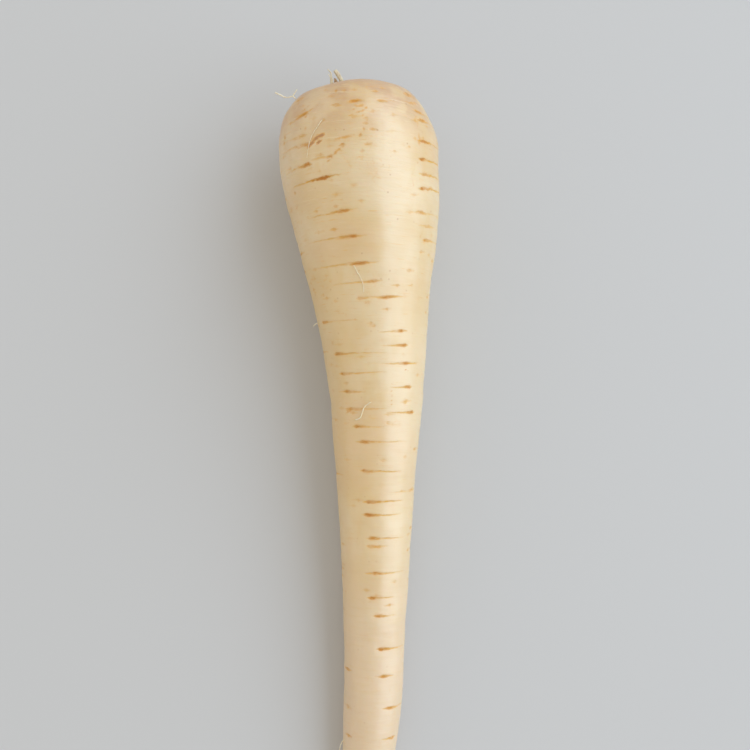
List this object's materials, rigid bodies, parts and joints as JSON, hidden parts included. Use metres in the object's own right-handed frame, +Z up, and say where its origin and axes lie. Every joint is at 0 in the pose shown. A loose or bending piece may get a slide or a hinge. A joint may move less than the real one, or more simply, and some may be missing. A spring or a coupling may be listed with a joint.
{
  "type": "parsnip",
  "caption": "Long tapering parsnip taproot lying on its side, with dried leaf stalk stumps in the hollow of its crown and fine rootlets on its skin.",
  "frame": {"origin": "middle of the bottom of the object's box, on the surface that the root lies on", "axes": "+Y from the tail to the crown, +Z up, +X across to the right"},
  "size_m": [0.0622, 0.3562, 0.0594],
  "materials": {
    "skin": "satin",
    "dried_stalk": "matte",
    "rootlet": "matte"
  },
  "bodies": {
    "root": {"taproot": "skin", "leaf_stalk_strap": "dried_stalk", "leaf_stalk_forked": "dried_stalk", "leaf_stalk_flap": "dried_stalk", "leaf_stalk_stump_1": "dried_stalk", "leaf_stalk_stump_2": "dried_stalk", "leaf_stalk_stump_3": "dried_stalk", "rootlet_shoulder": "rootlet", "rootlet_flank": "rootlet", "rootlet_upper": "rootlet", "rootlet_middle": "rootlet", "rootlet_side": "rootlet", "rootlet_lower": "rootlet"}
  },
  "joints": []
}
